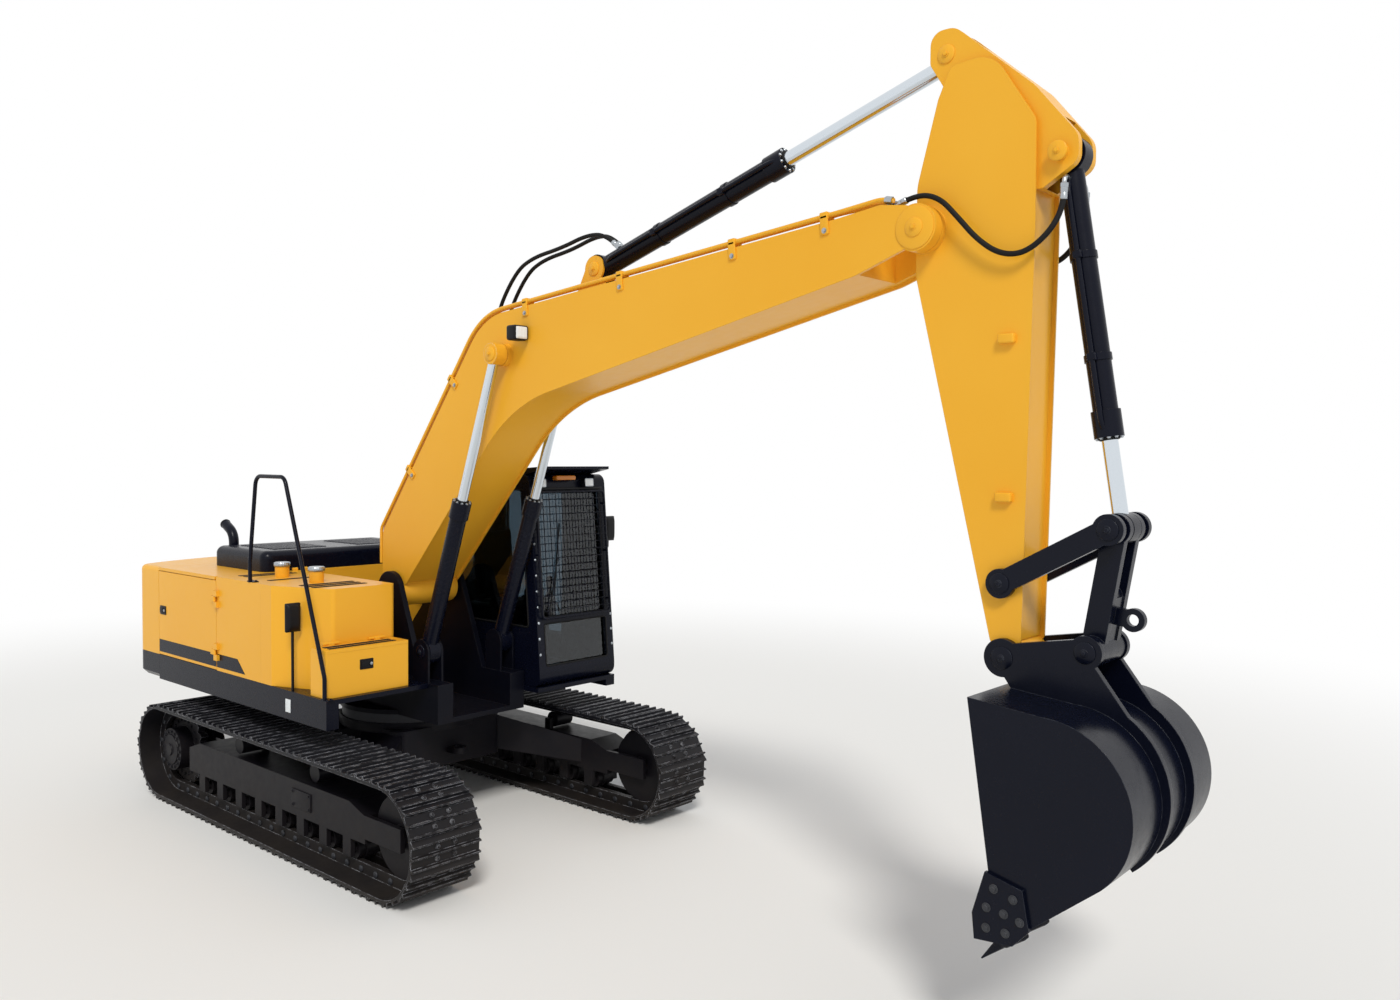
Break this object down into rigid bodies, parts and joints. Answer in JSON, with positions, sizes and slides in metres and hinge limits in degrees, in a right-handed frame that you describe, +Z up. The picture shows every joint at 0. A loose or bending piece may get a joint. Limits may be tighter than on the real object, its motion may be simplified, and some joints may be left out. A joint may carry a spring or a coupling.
{
  "type": "crawler excavator",
  "caption": "Crawler excavator on steel tracks with a slewing upper body, cab, gooseneck boom, digging arm and curling bucket moved by cylinders.",
  "frame": {"origin": "on the ground, on the swing axis", "axes": "+X forward towards the bucket, +Y to the cab's side, +Z up"},
  "size_m": [9.959, 3.16, 5.84],
  "materials": {
    "body_paint": "gloss",
    "dark_paint": "satin",
    "track_steel": "satin",
    "casting": "satin",
    "rod_chrome": "polished",
    "window": "gloss",
    "seat_cloth": "matte"
  },
  "bodies": {
    "undercarriage": {"carbody": "dark_paint", "idler_left": "track_steel", "idler_right": "track_steel", "rollers_left": "track_steel", "rollers_right": "track_steel", "sprocket_left": "track_steel", "sprocket_right": "track_steel", "swing_bearing": "dark_paint", "track_frame_left": "dark_paint", "track_frame_right": "dark_paint", "track_left": "track_steel", "track_right": "track_steel", "travel_drives": "dark_paint"},
    "upper": {"cab_glazing": "window", "cab_shell": "dark_paint", "cab_visor": "dark_paint", "counterweight": "casting", "counterweight_base": "dark_paint", "engine_block": "dark_paint", "engine_housing": "body_paint", "exhaust_pipe": "dark_paint", "filler_caps": "body_paint", "fuel_tank": "body_paint", "handrail": "dark_paint", "hydraulic_tank": "body_paint", "main_frame": "dark_paint", "operator_seat": "seat_cloth", "side_decks": "dark_paint", "tool_box": "body_paint"},
    "arm": {"arm": "body_paint"},
    "boom": {"boom": "body_paint"},
    "bucket": {"bucket": "dark_paint", "bucket_teeth": "dark_paint"},
    "bucket_link": {"bucket_link": "dark_paint"},
    "cab_door": {"cab_door": "dark_paint", "door_glass": "window"},
    "cooler_door": {"cooler_door": "body_paint"},
    "crowd_barrel": {"crowd_barrel": "dark_paint"},
    "crowd_rod": {"crowd_rod": "rod_chrome"},
    "curl_barrel": {"curl_barrel": "dark_paint"},
    "curl_rod": {"curl_rod": "rod_chrome"},
    "engine_hood": {"engine_hood": "dark_paint"},
    "lift_left_barrel": {"lift_left_barrel": "dark_paint"},
    "lift_left_rod": {"lift_left_rod": "rod_chrome"},
    "lift_right_barrel": {"lift_right_barrel": "dark_paint"},
    "lift_right_rod": {"lift_right_rod": "rod_chrome"},
    "pump_door": {"pump_door": "body_paint"},
    "rocker": {"rocker": "dark_paint"},
    "tool_box_lid": {"tool_box_lid": "body_paint"}
  },
  "joints": [
    {"name": "swing", "type": "hinge", "parent": "undercarriage", "child": "upper", "pos_m": [0, 0, 1], "axis": [0, 0, 1], "continuous": true},
    {"name": "boom_lift", "type": "hinge", "parent": "upper", "child": "boom", "pos_m": [0.153, 0, 2.069], "axis": [0, -1, 0], "range_deg": [-58, 36]},
    {"name": "arm_crowd", "type": "hinge", "parent": "boom", "child": "arm", "pos_m": [5.489, 0, 4.666], "axis": [0, 1, 0], "range_deg": [-62, 38]},
    {"name": "bucket_curl", "type": "hinge", "parent": "arm", "child": "bucket", "pos_m": [6.049, 0, 2.176], "axis": [0, 1, 0], "range_deg": [-45, 115]},
    {"name": "hood_hinge", "type": "hinge", "parent": "upper", "child": "engine_hood", "pos_m": [-0.964, 0, 2.206], "axis": [0, 1, 0], "range_deg": [0, 70]},
    {"name": "pump_door_hinge", "type": "hinge", "parent": "upper", "child": "pump_door", "pos_m": [-0.953, -1.446, 1.7], "axis": [0, 0, 1], "range_deg": [0, 110]},
    {"name": "cooler_door_hinge", "type": "hinge", "parent": "upper", "child": "cooler_door", "pos_m": [-2.147, 1.446, 1.7], "axis": [0, 0, 1], "range_deg": [0, 110]},
    {"name": "tool_lid_hinge", "type": "hinge", "parent": "upper", "child": "tool_box_lid", "pos_m": [0.636, -1, 1.746], "axis": [0, -1, 0], "range_deg": [0, 80]},
    {"name": "cab_door_hinge", "type": "hinge", "parent": "upper", "child": "cab_door", "pos_m": [-0.437, 1.446, 2.1], "axis": [0, 0, 1], "range_deg": [0, 165]},
    {"name": "lift_left_pivot", "type": "hinge", "parent": "upper", "child": "lift_left_barrel", "pos_m": [0.8, 0.392, 1.6], "axis": [0, -1, 0], "range_deg": [-57.05, 35.41]},
    {"name": "lift_left_slide", "type": "slide", "parent": "lift_left_barrel", "child": "lift_left_rod", "axis": [0.3429, 0, 0.9394], "range_m": [-0.74228, 0.46111]},
    {"name": "lift_right_pivot", "type": "hinge", "parent": "upper", "child": "lift_right_barrel", "pos_m": [0.8, -0.392, 1.6], "axis": [0, -1, 0], "range_deg": [-57.05, 35.41]},
    {"name": "lift_right_slide", "type": "slide", "parent": "lift_right_barrel", "child": "lift_right_rod", "axis": [0.3429, 0, 0.9394], "range_m": [-0.74228, 0.46111]},
    {"name": "crowd_pivot", "type": "hinge", "parent": "boom", "child": "crowd_barrel", "pos_m": [2.534, 0, 4.76], "axis": [0, -1, 0], "range_deg": [-2.38, 3.89]},
    {"name": "crowd_slide", "type": "slide", "parent": "crowd_barrel", "child": "crowd_rod", "axis": [0.9563, 0, 0.2923], "range_m": [-1.01867, 0.62473]},
    {"name": "curl_pivot", "type": "hinge", "parent": "arm", "child": "curl_barrel", "pos_m": [6.298, 0, 4.999], "axis": [0, -1, 0], "range_deg": [-0.18965, 0.4831]},
    {"name": "curl_slide", "type": "slide", "parent": "curl_barrel", "child": "curl_rod", "axis": [0.1635, 0, -0.9865], "range_m": [-0.34715, 0.88561]},
    {"name": "rocker_pivot", "type": "hinge", "parent": "arm", "child": "rocker", "pos_m": [6.028, 0, 2.599], "axis": [0, -1, 0], "range_deg": [-85.95, 33.63]},
    {"name": "link_pivot", "type": "hinge", "parent": "bucket", "child": "bucket_link", "pos_m": [6.53, 0, 2.262], "axis": [0, -1, 0], "range_deg": [-27.99, 71.53]}
  ],
  "couplings": [
    {"joint": "lift_left_pivot", "follows": "boom_lift", "ratio": 0.97386},
    {"joint": "lift_left_slide", "follows": "boom_lift", "m_per_rad": 0.72503},
    {"joint": "lift_right_pivot", "follows": "boom_lift", "ratio": 0.97386},
    {"joint": "lift_right_slide", "follows": "boom_lift", "m_per_rad": 0.72503},
    {"joint": "crowd_pivot", "follows": "arm_crowd", "ratio": -0.062056},
    {"joint": "crowd_slide", "follows": "arm_crowd", "m_per_rad": 0.93114},
    {"joint": "curl_pivot", "follows": "bucket_curl", "ratio": 0.004151},
    {"joint": "curl_slide", "follows": "bucket_curl", "m_per_rad": 0.43637},
    {"joint": "rocker_pivot", "follows": "bucket_curl", "ratio": -0.73997},
    {"joint": "link_pivot", "follows": "bucket_curl", "ratio": 0.61579}
  ]
}
